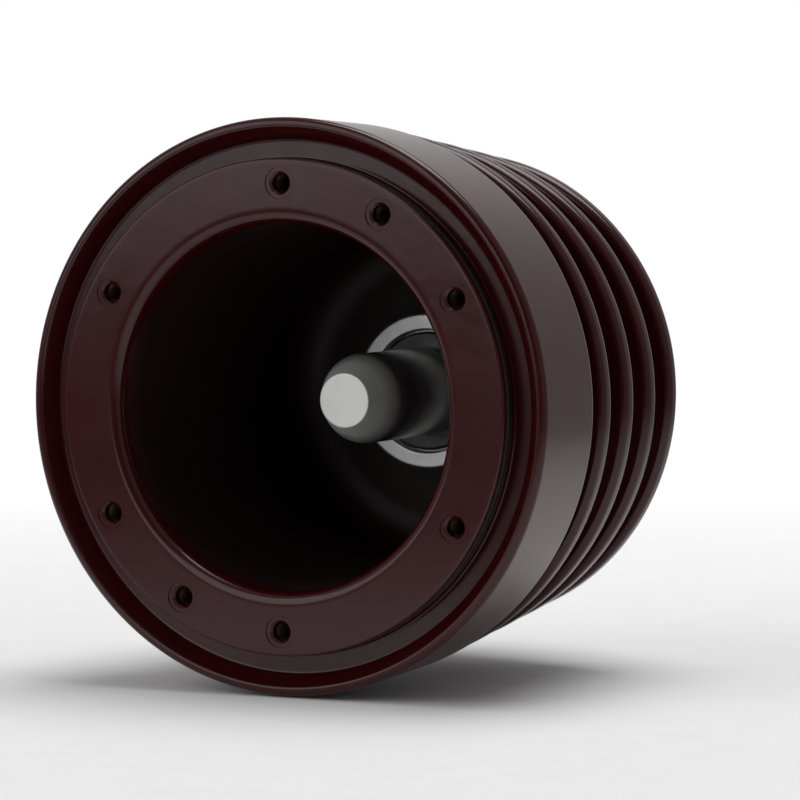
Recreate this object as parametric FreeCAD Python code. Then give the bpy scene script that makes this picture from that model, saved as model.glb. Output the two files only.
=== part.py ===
"""Cast-resin bushing insulator with a screwed-in contact pin, bolted by its flange to a wall.

The mounting face of the flange boss lies in the plane y = 0 with its centre at the origin. +Y runs
along the axis of the casting, from the open cavity mouth to the terminal head, and +Z is up.
Heights are measured along the axis from the mounting face. All sizes are in mm.
"""
import FreeCAD, Part
import math
import os

AXIS = FreeCAD.Vector(0, 1, 0)
ORIGIN = FreeCAD.Vector(0, 0, 0)

# Driving dimensions of the casting
OUTER_RADIUS = 75.0
TOTAL_HEIGHT = 135.5
BOSS_RADIUS = 64.3
BOSS_HEIGHT = 6.2
CAVITY_MOUTH_RADIUS = 48.0
CAVITY_FLOOR_RADIUS = 46.0
CAVITY_DEPTH = 97.0

# Crest of the flange. The channel between it and the boss has a flat floor and a sloping outer wall.
CHANNEL_RADIUS = 69.3
CREST_RADIUS = 72.6
CREST_HEIGHT = 1.5

# Plain band above the flange, and the sheds above the band
BAND_TOP = 35.0
BAND_DRAFT = 1.7
SHED_COUNT = 4
FIRST_SHED_HEIGHT = 47.2
SHED_PITCH = 19.25
FIRST_SHED_RADIUS = 71.5
SHED_RADIUS_STEP = 2.25
SHED_RIM_THICKNESS = 6.0
SHED_UPPER_RISE = 2.4
SHED_LOWER_RISE = 1.2
GROOVE_DEPTH = 8.0

# Dome over the top shed, and the neck under the terminal head
DOME_FOOT_RADIUS = 50.2
DOME_FOOT_HEIGHT = 111.5
DOME_SHOULDER_RADIUS = 49.2
DOME_SHOULDER_HEIGHT = 116.8
NECK_RADIUS = 19.6
NECK_FOOT_HEIGHT = 121.6

# Roundings of the casting
MOUTH_ROUNDING = 3.0
BOSS_EDGE_ROUNDING = 0.6
BOSS_ROOT_ROUNDING = 0.5
CHANNEL_ROUNDING = 1.0
CREST_ROUNDING = 0.8
FLANGE_ROUNDING = 1.8
BAND_ROUNDING = 2.0
RIM_LOWER_ROUNDING = 2.2
RIM_UPPER_ROUNDING = 2.6
GROOVE_ROUNDING = 1.6
DOME_FOOT_ROUNDING = 2.0
DOME_SHOULDER_ROUNDING = 2.6
NECK_ROUNDING = 5.5
CAVITY_FLOOR_ROUNDING = 11.0

# Terminal head: an M12 thread in a bush, given by its minor diameter
TERMINAL_RADIUS = 21.5
TERMINAL_THICKNESS = 9.0
TERMINAL_EDGE_CHAMFER = 0.7
BUSH_RADIUS = 7.2
BUSH_SETBACK = 0.6
BUSH_FLOOR = 2.0
BUSH_LEAD_IN = 1.6
M12_MINOR_RADIUS = 5.1
TERMINAL_THREAD_DEPTH = 24.0

# Conductor cast into the dome
ROD_RADIUS = 11.0
ROD_HEAD_ENGAGEMENT = 4.5
ROD_FOOT_ENGAGEMENT = 2.0
ROD_ANCHOR_GROOVES = 3
ROD_ANCHOR_DEPTH = 1.2
ROD_ANCHOR_WIDTH = 3.0

# Contact seat on the floor of the cavity, with a recess in its face, and the pin screwed to it
COLLAR_RADIUS = 21.3
COLLAR_STAND = 13.0
COLLAR_OUTER_ROUNDING = 0.8
COLLAR_INNER_ROUNDING = 0.5
COLLAR_RECESS_RADIUS = 16.8
COLLAR_RECESS_DEPTH = 3.0
COLLAR_ROOT_RADIUS = 18.5
COLLAR_ROOT_DEPTH = 4.5
WASHER_RADIUS = 16.2
WASHER_THICKNESS = 2.6
WASHER_EDGE_ROUNDING = 0.8
SPRING_WASHER_RADIUS = 10.4
SPRING_WASHER_THICKNESS = 2.4
SPRING_WASHER_SLIT = 1.6
PIN_RADIUS = 12.0
PIN_TIP_RADIUS = 7.2
PIN_NOSE_LENGTH = 10.0
PIN_NOSE_ROUNDING = 6.0
PIN_EDGE_ROUNDING = 0.5
PIN_TIP_HEIGHT = 36.0
STUD_RADIUS = 5.0
STUD_PIN_ENGAGEMENT = 16.0
STUD_ROD_ENGAGEMENT = 8.0

# M6 inserts in the boss, on one circle: six evenly spaced and two more between them. The thread
# runs on through the resin skin, and each hole has a shallow spot face.
BOLT_CIRCLE_RADIUS = 58.0
MAIN_INSERT_ANGLES = [30.0, 90.0, 150.0, 210.0, 270.0, 330.0]
SPARE_INSERT_ANGLES = [60.0, 240.0]
INSERT_RADIUS = 4.0
INSERT_LENGTH = 14.0
INSERT_SETBACK = 2.5
INSERT_FLOOR = 2.0
INSERT_WAIST_RADIUS = 3.5
INSERT_COLLAR_LENGTH = 3.5
INSERT_TAPER_LENGTH = 1.0
M6_MINOR_RADIUS = 2.5
SPOT_FACE_RADIUS = 4.1
SPOT_FACE_DEPTH = 0.3

# Seal ring in a groove round the wall of the boss
SEAL_SECTION_RADIUS = 1.0
SEAL_PROUD = 0.2
SEAL_HEIGHT = 3.0
SEAL_GROOVE_WIDTH = 2.6

TERMINAL_FOOT = TOTAL_HEIGHT - TERMINAL_THICKNESS
COLLAR_FACE = CAVITY_DEPTH - COLLAR_STAND
WASHER_SEAT = COLLAR_FACE + COLLAR_RECESS_DEPTH
WASHER_FACE = WASHER_SEAT - WASHER_THICKNESS
PIN_ROOT = WASHER_FACE - SPRING_WASHER_THICKNESS
COLLAR_TOP = CAVITY_DEPTH + COLLAR_ROOT_DEPTH
ROD_FOOT = COLLAR_TOP - ROD_FOOT_ENGAGEMENT
ROD_HEAD = TERMINAL_FOOT + ROD_HEAD_ENGAGEMENT
STUD_FOOT = PIN_ROOT - STUD_PIN_ENGAGEMENT
STUD_HEAD = ROD_FOOT + STUD_ROD_ENGAGEMENT
BUSH_FOOT = TOTAL_HEIGHT - TERMINAL_THREAD_DEPTH - BUSH_FLOOR
BUSH_HEAD = TOTAL_HEIGHT - BUSH_SETBACK
SEAL_CENTRE_RADIUS = BOSS_RADIUS + SEAL_PROUD - SEAL_SECTION_RADIUS


def point(radius, height):
    """A point of a half section, in the plane z = 0."""
    return FreeCAD.Vector(radius, height, 0)


def corner_arc(before, here, after, rounding):
    """Start, middle and end of the arc of the given radius that is tangent to both sides."""
    to_before = (before - here).normalize()
    to_after = (after - here).normalize()
    half_angle = to_before.getAngle(to_after) / 2
    run = rounding / math.tan(half_angle)
    inward = (to_before + to_after).normalize()
    middle = here + inward * (rounding / math.sin(half_angle) - rounding)
    return here + to_before * run, middle, here + to_after * run


def rounded_outline(corners):
    """Closed outline through (radius, height, rounding) corners, each rounding a tangent arc."""
    points = [point(radius, height) for radius, height, rounding in corners]
    arcs = []
    for index, here in enumerate(points):
        rounding = corners[index][2]
        after = points[(index + 1) % len(points)]
        if rounding > 0:
            arcs.append(corner_arc(points[index - 1], here, after, rounding))
        else:
            arcs.append((here, None, here))
    edges = []
    for index, (start, middle, end) in enumerate(arcs):
        edges.append(Part.makeLine(arcs[index - 1][2], start))
        if middle:
            edges.append(Part.Arc(start, middle, end).toShape())
    return Part.Wire(edges)


def turned(corners):
    """Solid of revolution about the part's axis from a half section."""
    return Part.Face(rounded_outline(corners)).revolve(ORIGIN, AXIS, 360)


def cylinder(radius, foot, head):
    return Part.makeCylinder(radius, head - foot, point(0, foot), AXIS)


def around_circle(shape, angles):
    """One copy of a shape drawn on the axis for each angle, counted from +X towards +Z."""
    copies = []
    for angle in angles:
        copy = shape.copy()
        copy.translate(point(BOLT_CIRCLE_RADIUS, 0))
        copy.rotate(ORIGIN, AXIS, -angle)
        copies.append(copy)
    return Part.makeCompound(copies)


def cavity_corners():
    """From the axis on the cavity floor out to the wall, which widens towards the mouth."""
    return [
        (0, TERMINAL_FOOT, 0),
        (0, CAVITY_DEPTH, 0),
        (CAVITY_FLOOR_RADIUS, CAVITY_DEPTH, CAVITY_FLOOR_ROUNDING),
    ]


def flange_corners():
    """From the cavity mouth over the boss, its channel and the crest to the top of the band."""
    return [
        (CAVITY_MOUTH_RADIUS, 0, MOUTH_ROUNDING),
        (BOSS_RADIUS, 0, BOSS_EDGE_ROUNDING),
        (BOSS_RADIUS, BOSS_HEIGHT, BOSS_ROOT_ROUNDING),
        (CHANNEL_RADIUS, BOSS_HEIGHT, CHANNEL_ROUNDING),
        (CREST_RADIUS, CREST_HEIGHT, CREST_ROUNDING),
        (OUTER_RADIUS, CREST_HEIGHT, FLANGE_ROUNDING),
        (OUTER_RADIUS - BAND_DRAFT, BAND_TOP, BAND_ROUNDING),
    ]


def shed_corners(number):
    """The groove under one shed, from its foot to its roof, then the rim of the shed."""
    rim_radius = FIRST_SHED_RADIUS - number * SHED_RADIUS_STEP
    rim_height = FIRST_SHED_HEIGHT + number * SHED_PITCH
    rim_foot = rim_height - SHED_RIM_THICKNESS / 2
    rim_head = rim_height + SHED_RIM_THICKNESS / 2
    roof_radius = rim_radius - GROOVE_DEPTH
    if number == 0:
        groove_foot = BAND_TOP + SHED_UPPER_RISE / 2
    else:
        groove_foot = rim_head - SHED_PITCH + SHED_UPPER_RISE
    return [
        (roof_radius + SHED_RADIUS_STEP, groove_foot, GROOVE_ROUNDING),
        (roof_radius, rim_foot + SHED_LOWER_RISE, GROOVE_ROUNDING),
        (rim_radius, rim_foot, RIM_LOWER_ROUNDING),
        (rim_radius, rim_head, RIM_UPPER_ROUNDING),
    ]


def dome_corners():
    """From the foot of the dome over its shoulder and up the concave slope to the neck."""
    return [
        (DOME_FOOT_RADIUS, DOME_FOOT_HEIGHT, DOME_FOOT_ROUNDING),
        (DOME_SHOULDER_RADIUS, DOME_SHOULDER_HEIGHT, DOME_SHOULDER_ROUNDING),
        (NECK_RADIUS, NECK_FOOT_HEIGHT, NECK_ROUNDING),
        (NECK_RADIUS, TERMINAL_FOOT, 0),
    ]


def rod_solid():
    """Copper conductor with grooves that the cast resin grips."""
    rod = cylinder(ROD_RADIUS, ROD_FOOT, ROD_HEAD)
    free_length = TERMINAL_FOOT - COLLAR_TOP
    pitch = free_length / (ROD_ANCHOR_GROOVES + 1)
    for number in range(ROD_ANCHOR_GROOVES):
        foot = COLLAR_TOP + pitch * (number + 1) - ROD_ANCHOR_WIDTH / 2
        ring = cylinder(ROD_RADIUS + 1, foot, foot + ROD_ANCHOR_WIDTH)
        ring = ring.cut(cylinder(ROD_RADIUS - ROD_ANCHOR_DEPTH, foot, foot + ROD_ANCHOR_WIDTH))
        rod = rod.cut(ring)
    return rod


def conductor_rod():
    stud_hole = cylinder(STUD_RADIUS, ROD_FOOT, STUD_HEAD)
    bush_hole = cylinder(BUSH_RADIUS, BUSH_FOOT, ROD_HEAD)
    return rod_solid().cut(stud_hole).cut(bush_hole)


def terminal_disc():
    """Round head with a socket for the rod below and a chamfered hole for the bush above."""
    head = turned([
        (0, TERMINAL_FOOT, 0),
        (TERMINAL_RADIUS - TERMINAL_EDGE_CHAMFER, TERMINAL_FOOT, 0),
        (TERMINAL_RADIUS, TERMINAL_FOOT + TERMINAL_EDGE_CHAMFER, 0),
        (TERMINAL_RADIUS, TOTAL_HEIGHT - TERMINAL_EDGE_CHAMFER, 0),
        (TERMINAL_RADIUS - TERMINAL_EDGE_CHAMFER, TOTAL_HEIGHT, 0),
        (0, TOTAL_HEIGHT, 0),
    ])
    socket = cylinder(ROD_RADIUS, TERMINAL_FOOT, ROD_HEAD)
    hole = cylinder(BUSH_RADIUS, ROD_HEAD, TOTAL_HEIGHT)
    countersink = Part.makeCone(
        BUSH_RADIUS, BUSH_RADIUS + BUSH_SETBACK, BUSH_SETBACK, point(0, BUSH_HEAD), AXIS)
    return head.cut(socket).cut(hole).cut(countersink)


def terminal_bush():
    """Threaded bush with a closed foot and a countersunk mouth."""
    thread_foot = BUSH_FOOT + BUSH_FLOOR
    bush = cylinder(BUSH_RADIUS, BUSH_FOOT, BUSH_HEAD)
    bush = bush.cut(cylinder(M12_MINOR_RADIUS, thread_foot, BUSH_HEAD))
    mouth = Part.makeCone(
        M12_MINOR_RADIUS, M12_MINOR_RADIUS + BUSH_LEAD_IN, BUSH_LEAD_IN,
        point(0, BUSH_HEAD - BUSH_LEAD_IN), AXIS)
    return bush.cut(mouth)


def contact_collar():
    """Contact seat: a bright rim round a recess, on a root that is cast into the resin."""
    collar = turned([
        (STUD_RADIUS, WASHER_SEAT, 0),
        (COLLAR_RECESS_RADIUS, WASHER_SEAT, 0),
        (COLLAR_RECESS_RADIUS, COLLAR_FACE, COLLAR_INNER_ROUNDING),
        (COLLAR_RADIUS, COLLAR_FACE, COLLAR_OUTER_ROUNDING),
        (COLLAR_RADIUS, CAVITY_DEPTH, 0),
        (COLLAR_ROOT_RADIUS, CAVITY_DEPTH, 0),
        (COLLAR_ROOT_RADIUS, COLLAR_TOP, 0),
        (STUD_RADIUS, COLLAR_TOP, 0),
    ])
    return collar.cut(cylinder(ROD_RADIUS, ROD_FOOT, COLLAR_TOP))


def contact_washer():
    return turned([
        (STUD_RADIUS, WASHER_FACE, 0),
        (WASHER_RADIUS, WASHER_FACE, WASHER_EDGE_ROUNDING),
        (WASHER_RADIUS, WASHER_SEAT, 0),
        (STUD_RADIUS, WASHER_SEAT, 0),
    ])


def spring_washer():
    """Split ring under the root of the pin."""
    ring = cylinder(SPRING_WASHER_RADIUS, PIN_ROOT, WASHER_FACE)
    ring = ring.cut(cylinder(STUD_RADIUS, PIN_ROOT, WASHER_FACE))
    slit = Part.makeBox(
        SPRING_WASHER_RADIUS + 1, SPRING_WASHER_THICKNESS, SPRING_WASHER_SLIT,
        FreeCAD.Vector(0, PIN_ROOT, -SPRING_WASHER_SLIT / 2))
    return ring.cut(slit)


def contact_pin():
    """Plain shank with a conical nose and a flat end, drilled at its root for the stud."""
    pin = turned([
        (0, PIN_TIP_HEIGHT, 0),
        (PIN_TIP_RADIUS, PIN_TIP_HEIGHT, PIN_EDGE_ROUNDING),
        (PIN_RADIUS, PIN_TIP_HEIGHT + PIN_NOSE_LENGTH, PIN_NOSE_ROUNDING),
        (PIN_RADIUS, PIN_ROOT, PIN_EDGE_ROUNDING),
        (0, PIN_ROOT, 0),
    ])
    return pin.cut(cylinder(STUD_RADIUS, STUD_FOOT, PIN_ROOT))


def contact_stud():
    """Stud that holds the pin, both washers and the collar to the conductor."""
    return cylinder(STUD_RADIUS, STUD_FOOT, STUD_HEAD)


def insert_solid():
    """Outside of one moulded-in insert, waisted so that it can't pull out."""
    foot = INSERT_SETBACK
    head = foot + INSERT_LENGTH
    waist_start = INSERT_COLLAR_LENGTH + INSERT_TAPER_LENGTH
    return turned([
        (0, foot, 0),
        (INSERT_RADIUS, foot, 0),
        (INSERT_RADIUS, foot + INSERT_COLLAR_LENGTH, 0),
        (INSERT_WAIST_RADIUS, foot + waist_start, 0),
        (INSERT_WAIST_RADIUS, head - waist_start, 0),
        (INSERT_RADIUS, head - INSERT_COLLAR_LENGTH, 0),
        (INSERT_RADIUS, head, 0),
        (0, head, 0),
    ])


def threaded_inserts(angles):
    head = INSERT_SETBACK + INSERT_LENGTH
    bore = cylinder(M6_MINOR_RADIUS, INSERT_SETBACK, head - INSERT_FLOOR)
    return around_circle(insert_solid().cut(bore), angles)


def seal_ring():
    """Round rubber cord that stands a little proud of the boss wall."""
    return Part.makeTorus(SEAL_CENTRE_RADIUS, SEAL_SECTION_RADIUS, point(0, SEAL_HEIGHT), AXIS)


def seal_groove():
    """The ring of resin that is missing round the seal."""
    foot = SEAL_HEIGHT - SEAL_GROOVE_WIDTH / 2
    head = SEAL_HEIGHT + SEAL_GROOVE_WIDTH / 2
    floor_radius = SEAL_CENTRE_RADIUS - SEAL_SECTION_RADIUS
    return cylinder(BOSS_RADIUS + 1, foot, head).cut(cylinder(floor_radius, foot, head))


def insulator_body():
    """The casting, hollowed for everything that is moulded into it."""
    corners = cavity_corners() + flange_corners()
    for number in range(SHED_COUNT):
        corners += shed_corners(number)
    body = turned(corners + dome_corners())
    body = body.cut(rod_solid()).cut(cylinder(COLLAR_ROOT_RADIUS, CAVITY_DEPTH, COLLAR_TOP))
    body = body.cut(seal_groove())
    hollow = insert_solid().fuse(cylinder(M6_MINOR_RADIUS, 0, INSERT_SETBACK))
    hollow = hollow.fuse(cylinder(SPOT_FACE_RADIUS, 0, SPOT_FACE_DEPTH))
    return body.cut(around_circle(hollow, MAIN_INSERT_ANGLES + SPARE_INSERT_ANGLES))


NODES = {
    "insulator_body": insulator_body(),
    "terminal_disc": terminal_disc(),
    "terminal_bush": terminal_bush(),
    "conductor_rod": conductor_rod(),
    "contact_collar": contact_collar(),
    "contact_washer": contact_washer(),
    "spring_washer": spring_washer(),
    "contact_pin": contact_pin(),
    "contact_stud": contact_stud(),
    "mounting_inserts": threaded_inserts(MAIN_INSERT_ANGLES),
    "spare_inserts": threaded_inserts(SPARE_INSERT_ANGLES),
    "seal_ring": seal_ring(),
}

os.makedirs("parts", exist_ok=True)
for name, shape in NODES.items():
    shape.exportStep("parts/" + name + ".step")
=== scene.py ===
"""Looks, light and camera for the cast-resin bushing insulator. Outlines are in mm, the rest in metres."""

import math

import bmesh
import bpy
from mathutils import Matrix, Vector


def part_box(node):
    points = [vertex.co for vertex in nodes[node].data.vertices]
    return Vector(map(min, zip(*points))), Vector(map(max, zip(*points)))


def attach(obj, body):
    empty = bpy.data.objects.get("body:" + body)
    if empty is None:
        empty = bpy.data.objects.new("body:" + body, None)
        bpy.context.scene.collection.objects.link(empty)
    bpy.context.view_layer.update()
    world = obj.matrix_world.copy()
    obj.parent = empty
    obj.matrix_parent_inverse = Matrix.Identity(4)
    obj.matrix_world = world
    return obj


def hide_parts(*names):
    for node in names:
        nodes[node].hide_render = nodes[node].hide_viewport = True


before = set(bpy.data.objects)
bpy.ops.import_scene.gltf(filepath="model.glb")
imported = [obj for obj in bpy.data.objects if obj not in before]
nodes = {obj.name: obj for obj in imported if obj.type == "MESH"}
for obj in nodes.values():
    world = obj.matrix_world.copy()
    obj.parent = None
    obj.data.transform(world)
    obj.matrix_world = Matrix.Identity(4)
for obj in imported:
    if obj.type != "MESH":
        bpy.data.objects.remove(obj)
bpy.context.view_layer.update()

MM = 0.001
TURN = 2 * math.pi


def far(node, axis):
    """Largest coordinate of a CAD node along x, y or z, in mm."""
    return getattr(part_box(node)[1], axis) / MM


def near(node, axis):
    """Smallest coordinate of a CAD node along x, y or z, in mm."""
    return getattr(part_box(node)[0], axis) / MM


# ---------------------------------------------------------------- sizes, in mm along and from the axis

OUTER_RADIUS = round(far("insulator_body", "x"))
TOTAL_HEIGHT = far("terminal_disc", "y")
TERMINAL_FOOT = near("terminal_disc", "y")

BOSS_RADIUS = 64.3
BOSS_FOOT = 6.2
CHANNEL_RADIUS = 69.3
CREST_RADIUS = 72.6
CREST_HEIGHT = 1.5
CAVITY_MOUTH_RADIUS = 48.0
CAVITY_FLOOR_RADIUS = 46.0
CAVITY_DEPTH = 97.0
BAND_TOP = 35.0
BAND_DRAFT = 1.7
SHED_COUNT = 4
FIRST_SHED_HEIGHT = 47.2
SHED_PITCH = 19.25
FIRST_SHED_RADIUS = 71.5
SHED_RADIUS_STEP = 2.25
SHED_RIM_THICKNESS = 6.0
SHED_UPPER_RISE = 2.4
SHED_LOWER_RISE = 1.2
GROOVE_DEPTH = 8.0
DOME_FOOT_RADIUS = 50.2
DOME_FOOT_HEIGHT = 111.5
DOME_SHOULDER_RADIUS = 49.2
DOME_SHOULDER_HEIGHT = 116.8
NECK_RADIUS = 19.6
NECK_FOOT_HEIGHT = 121.6

# Roundings of the casting's edges and roots
MOUTH_ROUNDING = 3.0
CAVITY_FLOOR_ROUNDING = 11.0
BOSS_EDGE_ROUNDING = 0.6
BOSS_ROOT_ROUNDING = 0.5
CHANNEL_ROUNDING = 1.0
CREST_ROUNDING = 0.8
FLANGE_ROUNDING = 1.8
BAND_ROUNDING = 2.0
RIM_LOWER_ROUNDING = 2.2
RIM_UPPER_ROUNDING = 2.6
GROOVE_ROUNDING = 1.6
DOME_FOOT_ROUNDING = 2.0
DOME_SHOULDER_ROUNDING = 2.6
NECK_ROUNDING = 5.5

# The belt of the boss face that the holes lie in
BOLT_CIRCLE_RADIUS = 58.0
HOLE_BELT_INNER = BOLT_CIRCLE_RADIUS - 6.0
HOLE_BELT_OUTER = BOLT_CIRCLE_RADIUS + 5.0
SECTORS = 12
HOLE_SECTORS = (1, 2, 3, 5, 7, 8, 9, 11)
SPOT_FACE_RADIUS = 4.1
SPOT_FACE_DEPTH = 0.3
SPOT_FACE_ROUNDING = 0.1
SPOT_FACE_LIP = 0.12
SPOT_FACE_SUPPORT = 0.5
M6_MINOR_RADIUS = 2.5
M6_MAJOR_RADIUS = 3.0
M6_PITCH = 1.0
M6_LEAD_IN = 0.6
M6_CHAMFER_RIM = 0.1
INSERT_RADIUS = 4.0
INSERT_FOOT = near("mounting_inserts", "y")
INSERT_HEAD = far("mounting_inserts", "y")
INSERT_FLOOR = 2.0
INSERT_CLEARANCE = 0.01
M12_MINOR_RADIUS = 5.1
M12_MAJOR_RADIUS = 6.0
M12_PITCH = 1.75
M12_LEAD_IN = 1.6
TERMINAL_THREAD_DEPTH = 24.0
TERMINAL_EDGE_CHAMFER = 0.7
TERMINAL_HOLE_CHAMFER = 0.6
TERMINAL_HOLE_ROUNDING = 0.15

COLLAR_RECESS_RADIUS = 16.8
COLLAR_RECESS_ROUNDING = 0.3
COLLAR_INNER_ROUNDING = 0.5
COLLAR_OUTER_ROUNDING = 0.8
WASHER_EDGE_ROUNDING = 0.8
STUD_RADIUS = 5.0
PIN_TIP_RADIUS = 7.2
PIN_NOSE_LENGTH = 10.0
PIN_NOSE_ROUNDING = 6.0
PIN_EDGE_ROUNDING = 0.5

SEAL_GROOVE_WIDTH = 2.6
SEAL_HEIGHT = (near("seal_ring", "y") + far("seal_ring", "y")) / 2
SEAL_GROOVE_RADIUS = BOSS_RADIUS - 1.8
SEAL_GROOVE_ROUNDING = 0.15

# Radii of the small edges that the lathe tool breaks on metal
METAL_EDGE = 0.2
FINE_METAL_EDGE = 0.1

# Mesh fineness: steps in a full turn of each kind of piece, and the longest turn of one arc step
TURN_STEPS = 240
M6_STEPS = 48
M12_STEPS = 96
CORD_STEPS = 24
FLOOR_STEPS = 96
THREAD_ROWS_PER_PITCH = 8
SPOKE_STEPS = 6
ARC_STEP = math.radians(9)

# Distance of the extra ring that keeps a flat stretch flat beside a rounding, and the angle from
# which an edge is shaded sharp
SUPPORT = 0.3
SHARP_ANGLE = math.radians(32)

# Shape of a thread's tooth over one pitch: how steeply it rises, and how much of it stays flat
FLANK_SLOPE = 2.5
CREST_FLAT = 0.12


# ---------------------------------------------------------------- mesh building

def rounded(corners, closed=False):
    """Points of an outline through (radius, height, rounding) corners, roundings as arcs."""
    points = [Vector(corner[:2]) for corner in corners]
    stretches = []
    for index, here in enumerate(points):
        rounding = corners[index][2]
        inner = closed or 0 < index < len(points) - 1
        if rounding == 0 or not inner:
            stretches.append([here])
            continue
        before = (points[index - 1] - here).normalized()
        after = (points[(index + 1) % len(points)] - here).normalized()
        half = before.angle(after) / 2
        centre = here + (before + after).normalized() * (rounding / math.sin(half))
        start = here + before * (rounding / math.tan(half)) - centre
        sweep = start.angle_signed(here + after * (rounding / math.tan(half)) - centre)
        steps = max(3, math.ceil(abs(sweep) / ARC_STEP))
        arc = []
        for step in range(steps + 1):
            turn = -sweep * step / steps
            arc.append(centre + Vector((
                start.x * math.cos(turn) - start.y * math.sin(turn),
                start.x * math.sin(turn) + start.y * math.cos(turn))))
        stretches.append(arc)
    outline = []
    for index, stretch in enumerate(stretches):
        if outline:
            outline += supports(outline[-1], stretch[0])
        outline += stretch
    if closed:
        outline += supports(outline[-1], outline[0])
    return outline


def supports(start, end):
    """Two points just inside the ends of a long straight stretch."""
    run = end - start
    if run.length < 4 * SUPPORT:
        return []
    return [start + run.normalized() * SUPPORT, end - run.normalized() * SUPPORT]


class Builder:
    """Collects rings of points and the faces between them, then makes a smooth-shaded piece."""

    def __init__(self):
        self.points = []
        self.faces = []

    def add(self, x, height, z):
        self.points.append((x * MM, height * MM, z * MM))
        return len(self.points) - 1

    def ring(self, radius, height, centre=(0, 0), steps=TURN_STEPS, start=0.0):
        """A ring round an axis parallel to Y. The radius may be a function of the angle."""
        indices = []
        for step in range(steps):
            angle = start + TURN * step / steps
            reach = radius(angle) if callable(radius) else radius
            indices.append(self.add(
                centre[0] + reach * math.cos(angle), height, centre[1] + reach * math.sin(angle)))
        return indices

    def bridge(self, first, second):
        for index in range(len(first)):
            after = (index + 1) % len(first)
            self.faces.append((first[index], first[after], second[after], second[index]))

    def chain(self, rings):
        for first, second in zip(rings, rings[1:]):
            self.bridge(first, second)

    def lathe(self, outline, centre=(0, 0), steps=TURN_STEPS, closed=False):
        """Turns an outline round the axis. An end on the axis is closed with one flat face."""
        rings = [self.ring(point.x, point.y, centre, steps) for point in outline if point.x > 0]
        self.chain(rings)
        if closed:
            self.bridge(rings[-1], rings[0])
        else:
            for ring, point in ((rings[0], outline[0]), (rings[-1], outline[-1])):
                if point.x <= 0:
                    self.faces.append(tuple(ring))
        return rings

    def thread(self, minor, major, pitch, foot, head, centre=(0, 0), steps=M6_STEPS):
        """Rings of an inner thread that runs out at both ends."""
        rows = math.ceil((head - foot) / pitch * THREAD_ROWS_PER_PITCH)
        rings = []
        for row in range(rows + 1):
            height = foot + (head - foot) * row / rows
            run_out = min(1.0, (height - foot) / pitch, (head - height) / pitch)

            def reach(angle):
                along = (height / pitch - angle / TURN) % 1.0
                flank = FLANK_SLOPE * (0.5 - abs(along - 0.5)) - CREST_FLAT
                return minor + (major - minor) * run_out * min(max(flank, 0.0), 1.0)

            rings.append(self.ring(reach, height, centre, steps))
        self.chain(rings)
        return rings

    def piece(self, name, material, replaced):
        """Makes the mesh, shades it smooth but for its real edges, and lets it stand for CAD nodes."""
        mesh = bpy.data.meshes.new(name)
        mesh.from_pydata(self.points, [], self.faces)
        work = bmesh.new()
        work.from_mesh(mesh)
        bmesh.ops.recalc_face_normals(work, faces=work.faces)
        work.to_mesh(mesh)
        work.free()
        mesh.polygons.foreach_set("use_smooth", [True] * len(mesh.polygons))
        mesh.set_sharp_from_angle(angle=SHARP_ANGLE)
        mesh.materials.append(material)
        made = bpy.data.objects.new(name, mesh)
        bpy.context.scene.collection.objects.link(made)
        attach(made, "root")
        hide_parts(*replaced)
        return made


# ---------------------------------------------------------------- the casting

def cavity_outline():
    """From the ring face over the lip of the mouth and down the cavity to its floor on the axis."""
    mouth = [
        (HOLE_BELT_INNER, 0, 0),
        (CAVITY_MOUTH_RADIUS, 0, MOUTH_ROUNDING),
        (CAVITY_FLOOR_RADIUS, CAVITY_DEPTH, CAVITY_FLOOR_ROUNDING),
        (0, CAVITY_DEPTH, 0),
    ]
    return rounded(mouth)


def outer_outline():
    """From the ring face over boss, channel, crest, band, sheds and dome to the neck's end."""
    groove_foot = SEAL_HEIGHT - SEAL_GROOVE_WIDTH / 2
    groove_head = groove_foot + SEAL_GROOVE_WIDTH
    corners = [
        (HOLE_BELT_OUTER, 0, 0),
        (BOSS_RADIUS, 0, BOSS_EDGE_ROUNDING),
        (BOSS_RADIUS, groove_foot, SEAL_GROOVE_ROUNDING),
        (SEAL_GROOVE_RADIUS, groove_foot, 0),
        (SEAL_GROOVE_RADIUS, groove_head, 0),
        (BOSS_RADIUS, groove_head, SEAL_GROOVE_ROUNDING),
        (BOSS_RADIUS, BOSS_FOOT, BOSS_ROOT_ROUNDING),
        (CHANNEL_RADIUS, BOSS_FOOT, CHANNEL_ROUNDING),
        (CREST_RADIUS, CREST_HEIGHT, CREST_ROUNDING),
        (OUTER_RADIUS, CREST_HEIGHT, FLANGE_ROUNDING),
        (OUTER_RADIUS - BAND_DRAFT, BAND_TOP, BAND_ROUNDING),
    ]
    for number in range(SHED_COUNT):
        corners += shed_corners(number)
    corners += [
        (DOME_FOOT_RADIUS, DOME_FOOT_HEIGHT, DOME_FOOT_ROUNDING),
        (DOME_SHOULDER_RADIUS, DOME_SHOULDER_HEIGHT, DOME_SHOULDER_ROUNDING),
        (NECK_RADIUS, NECK_FOOT_HEIGHT, NECK_ROUNDING),
        (NECK_RADIUS, TERMINAL_FOOT, 0),
        (0, TERMINAL_FOOT, 0),
    ]
    return rounded(corners)


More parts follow.
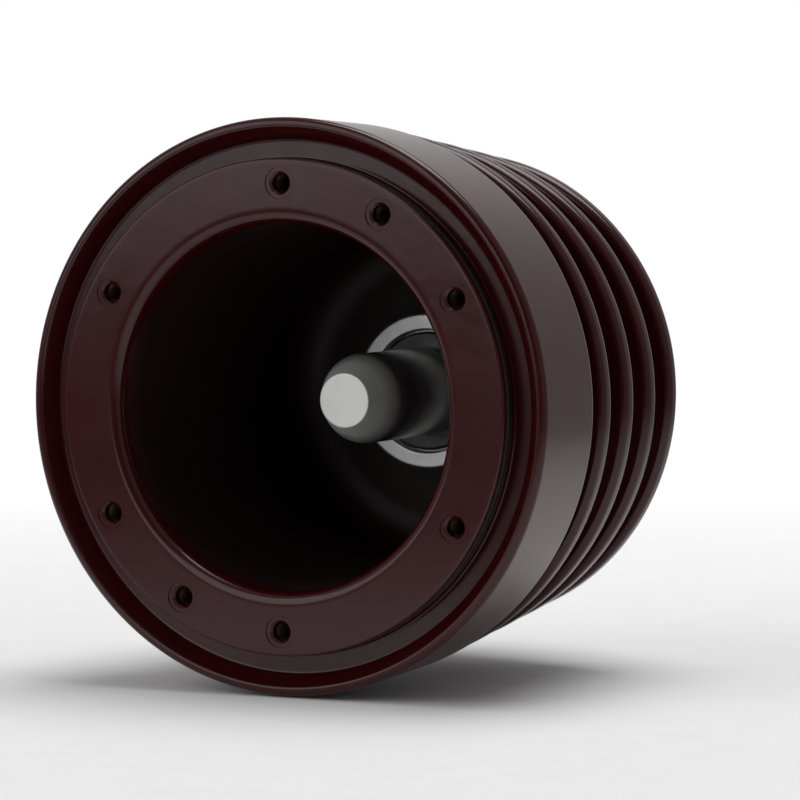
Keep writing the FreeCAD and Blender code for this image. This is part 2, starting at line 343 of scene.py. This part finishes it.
def shed_corners(number):
    """The groove under one shed, then the rim of the shed."""
    rim_radius = FIRST_SHED_RADIUS - number * SHED_RADIUS_STEP
    rim_height = FIRST_SHED_HEIGHT + number * SHED_PITCH
    rim_foot = rim_height - SHED_RIM_THICKNESS / 2
    rim_head = rim_height + SHED_RIM_THICKNESS / 2
    roof_radius = rim_radius - GROOVE_DEPTH
    if number == 0:
        groove_foot = BAND_TOP + SHED_UPPER_RISE / 2
    else:
        groove_foot = rim_head - SHED_PITCH + SHED_UPPER_RISE
    return [
        (roof_radius + SHED_RADIUS_STEP, groove_foot, GROOVE_ROUNDING),
        (roof_radius, rim_foot + SHED_LOWER_RISE, GROOVE_ROUNDING),
        (rim_radius, rim_foot, RIM_LOWER_ROUNDING),
        (rim_radius, rim_head, RIM_UPPER_ROUNDING),
    ]


def hole_centre(sector):
    angle = TURN * sector / SECTORS
    return BOLT_CIRCLE_RADIUS * math.cos(angle), BOLT_CIRCLE_RADIUS * math.sin(angle)


def ring_face(builder, inner, outer):
    """The flat ring between two rings of points, in sectors, with a threaded hole in most."""
    steps = TURN_STEPS // SECTORS
    spokes = []
    for sector in range(SECTORS):
        place = (sector * steps + steps // 2) % TURN_STEPS
        low = Vector(builder.points[inner[place]])
        high = Vector(builder.points[outer[place]])
        spoke = []
        for step in range(1, SPOKE_STEPS):
            point = low.lerp(high, step / SPOKE_STEPS) / MM
            spoke.append(builder.add(*point))
        spokes.append(spoke)
    for sector in range(SECTORS):
        first = sector * steps - steps // 2
        stations = [(first + step) % TURN_STEPS for step in range(steps + 1)]
        loop = [inner[station] for station in stations]
        loop += spokes[sector]
        loop += [outer[station] for station in reversed(stations)]
        loop += reversed(spokes[sector - 1])
        if sector in HOLE_SECTORS:
            threaded_hole(builder, loop, hole_centre(sector))
        else:
            builder.faces.append(tuple(loop))


def threaded_hole(builder, loop, centre):
    """Spot face, countersink and thread in the resin skin, inside a loop on the ring face."""
    middle = Vector((centre[0], 0, centre[1]))
    aims = [(Vector(builder.points[index]) / MM - middle).normalized() for index in loop]

    def ring_at(radius, height):
        return [builder.add(
            centre[0] + radius * aim.x, height, centre[1] + radius * aim.z) for aim in aims]

    rings = [loop]
    for radius, height in (
            (SPOT_FACE_RADIUS + SPOT_FACE_SUPPORT, 0),
            (SPOT_FACE_RADIUS + SPOT_FACE_LIP, 0),
            (SPOT_FACE_RADIUS, SPOT_FACE_ROUNDING),
            (SPOT_FACE_RADIUS, SPOT_FACE_DEPTH),
            (M6_MAJOR_RADIUS + M6_CHAMFER_RIM, SPOT_FACE_DEPTH),
            (M6_MINOR_RADIUS, SPOT_FACE_DEPTH + M6_LEAD_IN),
            (M6_MINOR_RADIUS, INSERT_FOOT),
            (INSERT_RADIUS, INSERT_FOOT), (INSERT_RADIUS, INSERT_HEAD)):
        rings.append(ring_at(radius, height))
    builder.chain(rings)
    builder.faces.append(tuple(rings[-1]))


def casting(material):
    builder = Builder()
    inner = builder.lathe(cavity_outline())[0]
    outer = builder.lathe(outer_outline())[0]
    ring_face(builder, inner, outer)
    return builder.piece("resin_casting", material, ["insulator_body"])


# ---------------------------------------------------------------- turned metal pieces and the seal

def inserts(name, node, sectors, material):
    """Brass inserts with a real thread and a flat floor."""
    builder = Builder()
    for sector in sectors:
        centre = hole_centre(sector)
        wall = rounded([
            (INSERT_RADIUS - INSERT_CLEARANCE, INSERT_HEAD, 0),
            (INSERT_RADIUS - INSERT_CLEARANCE, INSERT_FOOT, 0),
            (M6_MINOR_RADIUS, INSERT_FOOT, 0)])
        outside = builder.lathe(wall, centre, M6_STEPS)
        bore = builder.thread(
            M6_MINOR_RADIUS, M6_MAJOR_RADIUS, M6_PITCH, INSERT_FOOT,
            INSERT_HEAD - INSERT_FLOOR, centre)
        builder.bridge(outside[-1], bore[0])
        builder.faces.append(tuple(bore[-1]))
        builder.faces.append(tuple(outside[0]))
    return builder.piece(name, material, [node])


def bush(material):
    """Closed bush with a countersunk M12 thread."""
    radius = far("terminal_bush", "x")
    foot = near("terminal_bush", "y")
    head = far("terminal_bush", "y")
    builder = Builder()
    outside = builder.lathe(rounded([
        (0, foot, 0), (radius, foot, 0), (radius, head, METAL_EDGE),
        (M12_MINOR_RADIUS + M12_LEAD_IN, head, FINE_METAL_EDGE),
        (M12_MINOR_RADIUS, head - M12_LEAD_IN, 0)]), steps=M12_STEPS)
    bore = builder.thread(
        M12_MINOR_RADIUS, M12_MAJOR_RADIUS, M12_PITCH, TOTAL_HEIGHT - TERMINAL_THREAD_DEPTH,
        head - M12_LEAD_IN, steps=M12_STEPS)
    builder.bridge(outside[-1], bore[-1])
    builder.faces.append(tuple(bore[0]))
    return builder.piece("threaded_bush", material, ["terminal_bush"])


def terminal(material):
    """Terminal head: edges broken by the lathe tool, hole countersunk down to the bush."""
    radius = far("terminal_disc", "x")
    hole = far("terminal_bush", "x")
    builder = Builder()
    outline = rounded([
        (hole, TERMINAL_FOOT, 0),
        (radius - TERMINAL_EDGE_CHAMFER, TERMINAL_FOOT, METAL_EDGE),
        (radius, TERMINAL_FOOT + TERMINAL_EDGE_CHAMFER, METAL_EDGE),
        (radius, TOTAL_HEIGHT - TERMINAL_EDGE_CHAMFER, METAL_EDGE),
        (radius - TERMINAL_EDGE_CHAMFER, TOTAL_HEIGHT, METAL_EDGE),
        (hole + TERMINAL_HOLE_CHAMFER, TOTAL_HEIGHT, TERMINAL_HOLE_ROUNDING),
        (hole, TOTAL_HEIGHT - TERMINAL_HOLE_CHAMFER, FINE_METAL_EDGE)], closed=True)
    builder.lathe(outline, closed=True)
    return builder.piece("terminal_head", material, ["terminal_disc"])


def collar(material):
    """Bright rim round a recess. Its root is hidden in the casting."""
    radius = far("contact_collar", "x")
    face = near("contact_collar", "y")
    seat = far("contact_washer", "y")
    builder = Builder()
    builder.lathe(rounded([
        (0, seat, 0),
        (COLLAR_RECESS_RADIUS, seat, COLLAR_RECESS_ROUNDING),
        (COLLAR_RECESS_RADIUS, face, COLLAR_INNER_ROUNDING),
        (radius, face, COLLAR_OUTER_ROUNDING),
        (radius, CAVITY_DEPTH, 0),
        (0, CAVITY_DEPTH, 0)]))
    return builder.piece("contact_seat", material, ["contact_collar"])


def washer(material):
    radius = far("contact_washer", "x")
    face = near("contact_washer", "y")
    back = far("contact_washer", "y")
    builder = Builder()
    builder.lathe(rounded([
        (STUD_RADIUS, back, 0),
        (STUD_RADIUS, face, METAL_EDGE),
        (radius, face, WASHER_EDGE_ROUNDING),
        (radius, back, METAL_EDGE)], closed=True), closed=True)
    return builder.piece("flat_washer", material, ["contact_washer"])


def pin(material):
    """Contact pin with a flat end, a conical nose and a plain shank."""
    radius = far("contact_pin", "x")
    tip = near("contact_pin", "y")
    root = far("contact_pin", "y")
    builder = Builder()
    builder.lathe(rounded([
        (0, tip, 0),
        (PIN_TIP_RADIUS, tip, PIN_EDGE_ROUNDING),
        (radius, tip + PIN_NOSE_LENGTH, PIN_NOSE_ROUNDING),
        (radius, root, PIN_EDGE_ROUNDING),
        (0, root, 0)]))
    return builder.piece("pin_contact", material, ["contact_pin"])


def seal(material):
    """Round cord ring in the groove of the boss wall."""
    radius = (far("seal_ring", "y") - near("seal_ring", "y")) / 2
    centre = far("seal_ring", "x") - radius
    builder = Builder()
    section = []
    for step in range(CORD_STEPS):
        angle = TURN * step / CORD_STEPS
        section.append(Vector((
            centre + radius * math.cos(angle), SEAL_HEIGHT + radius * math.sin(angle))))
    builder.lathe(section, closed=True)
    return builder.piece("cord_seal", material, ["seal_ring"])


# ---------------------------------------------------------------- materials

# Where the cavity's duller skin and its painted shade start and end, across the axis and along it, in
# metres
CAVITY_SKIN_AND_SHADE_RADII = (0.0480, 0.0495)
CAVITY_SKIN_AND_SHADE_DEPTHS = (0.002, 0.012)
CAVITY_FLOOR_DEPTHS = (0.0975, 0.0990)

# Roughness of the resin's outer skin, and how much duller the cavity is
RESIN_ROUGHNESS = (0.13, 0.20)
CAVITY_EXTRA_ROUGHNESS = 0.34

# Where the pin's matt nose passes into its polished shank, whose colour is darkened with painted shade
PIN_POLISH_AND_SHADE_DEPTHS = (0.041, 0.050)

# The lathe tool's feed in metres, and its groove as a share of the feed
TURNING_FEED = 0.0003
FINE_FEED = 0.00025
TOOL_GROOVE_SHARE = 0.02
TOOL_GROOVE_STRENGTH = 0.5

# Noise scales, in patches to a metre: how the resin is mottled, speckled, smeared and rippled, and
# how a metal's tone and its scuffs vary
MOTTLE_SCALE = 38.0
SPECKLE_SCALE = 900.0
SMEAR_SCALE = 24.0
RIPPLE_SCALE = 160.0
METAL_CLOUD_SCALE = 90.0
METAL_SCUFF_SCALE = 260.0

# How much of the pale speckle shows in the resin, and how far the cavity is darkened with painted shade
SPECKLE_SHARE = 0.2
CAVITY_PAINTED_SHADE_SHARE = 0.7


class Shader:
    """A node material, with short ways to add nodes and to join them."""

    def __init__(self, name):
        self.material = bpy.data.materials.new(name)
        self.material.use_nodes = True
        self.tree = self.material.node_tree
        self.surface = self.tree.nodes["Principled BSDF"]
        self.place = self.add("ShaderNodeTexCoord").outputs["Object"]

    def add(self, kind, **settings):
        node = self.tree.nodes.new(kind)
        for name, value in settings.items():
            setattr(node, name, value)
        return node

    def fill(self, socket, value):
        """Joins an output to a socket, or sets the socket's own value."""
        if isinstance(value, bpy.types.NodeSocket):
            self.tree.links.new(value, socket)
        else:
            socket.default_value = value

    def set(self, **values):
        """Sets sockets of the Principled shader: Base_Color stands for Base Color."""
        for name, value in values.items():
            self.fill(self.surface.inputs[name.replace("_", " ")], value)

    def noise(self, scale, detail=4.0, roughness=0.55, place=None):
        node = self.add("ShaderNodeTexNoise")
        self.fill(node.inputs["Vector"], place or self.place)
        node.inputs["Scale"].default_value = scale
        node.inputs["Detail"].default_value = detail
        node.inputs["Roughness"].default_value = roughness
        return node.outputs["Fac"]

    def spread(self, value, low, high, start=0.3, end=0.7):
        """Maps start..end of a value onto low..high, clamped."""
        node = self.add("ShaderNodeMapRange")
        self.fill(node.inputs["Value"], value)
        node.inputs["From Min"].default_value = start
        node.inputs["From Max"].default_value = end
        node.inputs["To Min"].default_value = low
        node.inputs["To Max"].default_value = high
        return node.outputs["Result"]

    def blend(self, share, first, second):
        node = self.add("ShaderNodeMix", data_type="RGBA")
        self.fill(node.inputs["Factor"], share)
        self.fill(node.inputs["A"], first)
        self.fill(node.inputs["B"], second)
        return node.outputs["Result"]

    def math(self, operation, first, second=0.0):
        node = self.add("ShaderNodeMath", operation=operation)
        self.fill(node.inputs[0], first)
        self.fill(node.inputs[1], second)
        return node.outputs[0]

    def parts(self):
        node = self.add("ShaderNodeSeparateXYZ")
        self.fill(node.inputs[0], self.place)
        return node.outputs

    def from_axis(self):
        """Distance from the part's axis, which runs along Y."""
        x, _, z = self.parts()
        squares = self.math("ADD", self.math("MULTIPLY", x, x), self.math("MULTIPLY", z, z))
        return self.math("SQRT", squares)

    def bump(self, height, distance, strength=1.0, under=None):
        node = self.add("ShaderNodeBump")
        self.fill(node.inputs["Height"], height)
        node.inputs["Distance"].default_value = distance
        node.inputs["Strength"].default_value = strength
        if under:
            self.fill(node.inputs["Normal"], under)
        return node.outputs["Normal"]

    def lathe_rings(self, feed):
        """Bump of the fine rings that a lathe tool leaves round the axis."""
        _, along, _ = self.parts()
        spiral = self.math("ADD", self.from_axis(), along)
        wave = self.math("SINE", self.math("MULTIPLY", spiral, TURN / feed))
        ring = self.spread(wave, 0.0, 1.0, -1.0, 1.0)
        return self.bump(ring, feed * TOOL_GROOVE_SHARE, TOOL_GROOVE_STRENGTH)


def colour(red, green, blue):
    return (red, green, blue, 1.0)


def cast_resin():
    """Glossy maroon casting resin, faintly mottled. Painted shade darkens the cavity, which is also less
    polished.
    """
    shader = Shader("cast_resin")
    mottle = shader.spread(shader.noise(MOTTLE_SCALE, 6.0), 0.0, 1.0)
    grain = shader.spread(shader.noise(SPECKLE_SCALE, 3.0), 0.0, 1.0)
    base = shader.blend(mottle, colour(0.033, 0.0018, 0.0027), colour(0.042, 0.0026, 0.0037))
    specks = shader.math("MULTIPLY", grain, SPECKLE_SHARE)
    base = shader.blend(specks, base, colour(0.054, 0.009, 0.010))
    _, along, _ = shader.parts()
    near_axis = shader.spread(shader.from_axis(), 1.0, 0.0, *CAVITY_SKIN_AND_SHADE_RADII)
    past_mouth = shader.spread(along, 0.0, 1.0, *CAVITY_SKIN_AND_SHADE_DEPTHS)
    past_floor = shader.spread(along, 1.0, 0.0, *CAVITY_FLOOR_DEPTHS)
    inside = shader.math("MULTIPLY", shader.math("MULTIPLY", near_axis, past_mouth), past_floor)
    # Painted shade: the colour inside the cavity is darkened towards near black
    painted_shade = shader.math("MULTIPLY", inside, CAVITY_PAINTED_SHADE_SHARE)
    base = shader.blend(painted_shade, base, colour(0.003, 0.001, 0.001))
    smears = shader.spread(shader.noise(SMEAR_SCALE, 5.0, 0.65), *RESIN_ROUGHNESS)
    rough = shader.math("ADD", smears, shader.math("MULTIPLY", inside, CAVITY_EXTRA_ROUGHNESS))
    skin = shader.bump(shader.noise(RIPPLE_SCALE, 2.0), 0.00003)
    shader.set(Base_Color=base, Roughness=rough, Normal=skin, IOR=1.44)
    return shader.material


def turned_metal(name, first, second, roughness, feed=TURNING_FEED):
    """Metal off a lathe: fine rings round the axis, with a soft change of tone between them."""
    shader = Shader(name)
    uneven = shader.spread(shader.noise(METAL_CLOUD_SCALE, 4.0), 0.0, 1.0)
    tone = shader.blend(uneven, first, second)
    rough = shader.spread(shader.noise(METAL_SCUFF_SCALE, 3.0), *roughness)
    shader.set(Base_Color=tone, Metallic=1.0, Roughness=rough, Normal=shader.lathe_rings(feed))
    return shader.material


def pin_metal():
    """The pin: a matt turned nose, and a shank polished by the sliding contact and darkened by painted
    shade.
    """
    shader = Shader("pin_silver")
    _, along, _ = shader.parts()
    slid_and_shaded = shader.spread(along, 0.0, 1.0, *PIN_POLISH_AND_SHADE_DEPTHS)
    uneven = shader.spread(shader.noise(METAL_CLOUD_SCALE, 4.0), 0.0, 1.0)
    nose = shader.blend(uneven, colour(0.80, 0.81, 0.79), colour(0.90, 0.91, 0.89))
    # Painted shade: the shank's tone drops to dark grey deep inside the cavity
    tone = shader.blend(slid_and_shaded, nose, colour(0.30, 0.29, 0.28))
    scuffs = shader.spread(shader.noise(120.0, 3.0), 0.0, 0.06)
    rough = shader.math("ADD", scuffs, shader.spread(slid_and_shaded, 0.42, 0.20, 0.0, 1.0))
    metallic = shader.spread(slid_and_shaded, 0.45, 1.0, 0.0, 1.0)
    shader.set(
        Base_Color=tone, Metallic=metallic, Roughness=rough, Normal=shader.lathe_rings(TURNING_FEED))
    return shader.material


def black_rubber():
    shader = Shader("black_rubber")
    dust = shader.spread(shader.noise(500.0, 4.0), 0.0, 1.0)
    tone = shader.blend(dust, colour(0.006, 0.006, 0.006), colour(0.014, 0.013, 0.013))
    shader.set(Base_Color=tone, Roughness=0.7, Normal=shader.bump(dust, 0.00002))
    return shader.material


def paint(node, material):
    nodes[node].data.materials.clear()
    nodes[node].data.materials.append(material)


def build_object():
    aluminium = turned_metal(
        "aluminium_terminal", colour(0.76, 0.75, 0.74), colour(0.86, 0.85, 0.84), (0.24, 0.34))
    silver = turned_metal(
        "silvered_copper", colour(0.90, 0.91, 0.90), colour(0.96, 0.97, 0.96), (0.40, 0.48), FINE_FEED)
    dark_steel = turned_metal(
        "dark_steel", colour(0.07, 0.07, 0.075), colour(0.12, 0.12, 0.125), (0.32, 0.45))
    bronze = turned_metal(
        "bronze_bush", colour(0.30, 0.16, 0.09), colour(0.42, 0.24, 0.13), (0.30, 0.42))
    # The brass tone is darkened nearly to black: painted shade for the insides of the holes
    brass = turned_metal(
        "brass_insert", colour(0.09, 0.06, 0.03), colour(0.14, 0.10, 0.05), (0.35, 0.50))
    copper = turned_metal(
        "bare_copper", colour(0.60, 0.28, 0.17), colour(0.74, 0.37, 0.24), (0.28, 0.42))
    casting(cast_resin())
    terminal(aluminium)
    bush(bronze)
    collar(silver)
    washer(dark_steel)
    pin(pin_metal())
    seal(black_rubber())
    inserts("main_inserts", "mounting_inserts", (1, 3, 5, 7, 9, 11), brass)
    inserts("extra_inserts", "spare_inserts", (2, 8), brass)
    paint("conductor_rod", copper)
    paint("contact_stud", dark_steel)
    paint("spring_washer", dark_steel)


# ---------------------------------------------------------------- floor, light and camera

# The camera stands where the photograph was taken from: to the right of the mouth, a little above
CAMERA_AZIMUTH = math.radians(28.36)
CAMERA_ELEVATION = math.radians(3.54)
CAMERA_DISTANCE = 16.81 * OUTER_RADIUS * MM
VIEW_WIDTH = 2.75 * OUTER_RADIUS * MM
SENSOR_WIDTH = 36.0
AIM = Vector((0.012, 0.045, 0))

# The floor fades out before its edge, and the studio's brightness changes with the direction: along
# Y it is dimmest in front, and it gains light behind the object
FLOOR_RADIUS = 0.65
FLOOR_FADE_START = 0.18
FLOOR_FADE_END = FLOOR_RADIUS * 0.98
FLOOR_GLOSS = 0.1
FLOOR_GAP = 0.0004
FRONT_TURN = (-0.80, -0.40)
BEHIND_TURN = (0.60, 0.95)
STUDIO_FRONT = 0.06
STUDIO_AROUND = 0.28
STUDIO_BEHIND = 0.35
BACKDROP = 1.0


def pale_floor():
    """A round floor under the flange that fades out before it ends, so no horizon shows."""
    shader = Shader("pale_floor")
    grain = shader.spread(shader.noise(60.0, 3.0), 0.0, 1.0)
    tone = shader.blend(grain, colour(0.94, 0.94, 0.94), colour(0.96, 0.96, 0.96))
    shader.set(Base_Color=tone, Roughness=0.9)
    shader.surface.inputs["Specular IOR Level"].default_value = FLOOR_GLOSS
    x, y, _ = shader.parts()
    squares = shader.math("ADD", shader.math("MULTIPLY", x, x), shader.math("MULTIPLY", y, y))
    fade = shader.spread(shader.math("SQRT", squares), 1.0, 0.0, FLOOR_FADE_START, FLOOR_FADE_END)
    shader.set(Alpha=fade)
    mesh = bpy.data.meshes.new("floor")
    ring = []
    for step in range(FLOOR_STEPS):
        angle = TURN * step / FLOOR_STEPS
        ring.append((FLOOR_RADIUS * math.cos(angle), FLOOR_RADIUS * math.sin(angle), 0))
    mesh.from_pydata(ring, [], [tuple(range(FLOOR_STEPS))])
    mesh.materials.append(shader.material)
    floor = bpy.data.objects.new("floor", mesh)
    floor.location = (0, 0, near("insulator_body", "z") * MM - FLOOR_GAP)
    bpy.context.scene.collection.objects.link(floor)


def studio_world():
    """A dim studio, darkest in front of the mouth, with a white backdrop that the camera looks at."""
    world = bpy.data.worlds.new("studio")
    world.use_nodes = True
    tree = world.node_tree
    place = tree.nodes.new("ShaderNodeTexCoord").outputs["Generated"]

    def smooth_range(value, start, end, low, high):
        node = tree.nodes.new("ShaderNodeMapRange")
        node.interpolation_type = "SMOOTHSTEP"
        for name, number in zip(("From Min", "From Max", "To Min", "To Max"), (start, end, low, high)):
            node.inputs[name].default_value = number
        tree.links.new(value, node.inputs["Value"])
        return node.outputs["Result"]

    split = tree.nodes.new("ShaderNodeSeparateXYZ")
    tree.links.new(place, split.inputs[0])
    around = smooth_range(split.outputs["Y"], *FRONT_TURN, STUDIO_FRONT, STUDIO_AROUND)
    facing = tree.nodes.new("ShaderNodeVectorMath")
    facing.operation = "DOT_PRODUCT"
    facing.inputs[1].default_value = (-math.sin(CAMERA_AZIMUTH), math.cos(CAMERA_AZIMUTH), 0)
    tree.links.new(place, facing.inputs[0])
    behind = smooth_range(facing.outputs["Value"], *BEHIND_TURN, 0.0, STUDIO_BEHIND)
    total = tree.nodes.new("ShaderNodeMath")
    tree.links.new(around, total.inputs[0])
    tree.links.new(behind, total.inputs[1])
    pick = tree.nodes.new("ShaderNodeMix")
    pick.inputs["B"].default_value = BACKDROP
    seen = tree.nodes.new("ShaderNodeLightPath").outputs["Is Camera Ray"]
    tree.links.new(seen, pick.inputs["Factor"])
    tree.links.new(total.outputs[0], pick.inputs["A"])
    tree.links.new(pick.outputs["Result"], tree.nodes["Background"].inputs["Strength"])
    tree.nodes["Background"].inputs["Color"].default_value = colour(1.0, 1.0, 1.0)
    bpy.context.scene.world = world
    bpy.context.scene.view_settings.view_transform = "Standard"


def softbox(name, azimuth, elevation, distance, size, radiance):
    """A rectangular area light that faces the middle of the object. Azimuth 0 is in front of it."""
    around, up = math.radians(azimuth), math.radians(elevation)
    middle = Vector((0, TOTAL_HEIGHT * MM / 2, 0))
    away = Vector((math.sin(around) * math.cos(up), -math.cos(around) * math.cos(up), math.sin(up)))
    light = bpy.data.lights.new(name, "AREA")
    light.shape = "RECTANGLE"
    light.size, light.size_y = size
    light.energy = radiance * math.pi * size[0] * size[1]
    lamp = bpy.data.objects.new(name, light)
    lamp.location = middle + away * distance
    lamp.rotation_euler = away.to_track_quat("Z", "Y").to_euler()
    bpy.context.scene.collection.objects.link(lamp)


def photo_camera():
    lens = bpy.data.cameras.new("camera")
    lens.sensor_width = SENSOR_WIDTH
    lens.lens = SENSOR_WIDTH * CAMERA_DISTANCE / VIEW_WIDTH
    lens.clip_start = 0.05
    camera = bpy.data.objects.new("camera", lens)
    flat = math.cos(CAMERA_ELEVATION)
    camera.location = CAMERA_DISTANCE * Vector((
        math.sin(CAMERA_AZIMUTH) * flat, -math.cos(CAMERA_AZIMUTH) * flat,
        math.sin(CAMERA_ELEVATION)))
    camera.rotation_euler = (AIM - camera.location).to_track_quat("-Z", "Y").to_euler()
    bpy.context.scene.collection.objects.link(camera)
    bpy.context.scene.camera = camera


build_object()
pale_floor()
studio_world()
softbox("key", azimuth=-28, elevation=23, distance=1.5, size=(1.2, 1.28), radiance=1.45)
softbox("top", azimuth=150, elevation=80, distance=1.3, size=(0.9, 0.9), radiance=4.6)
photo_camera()
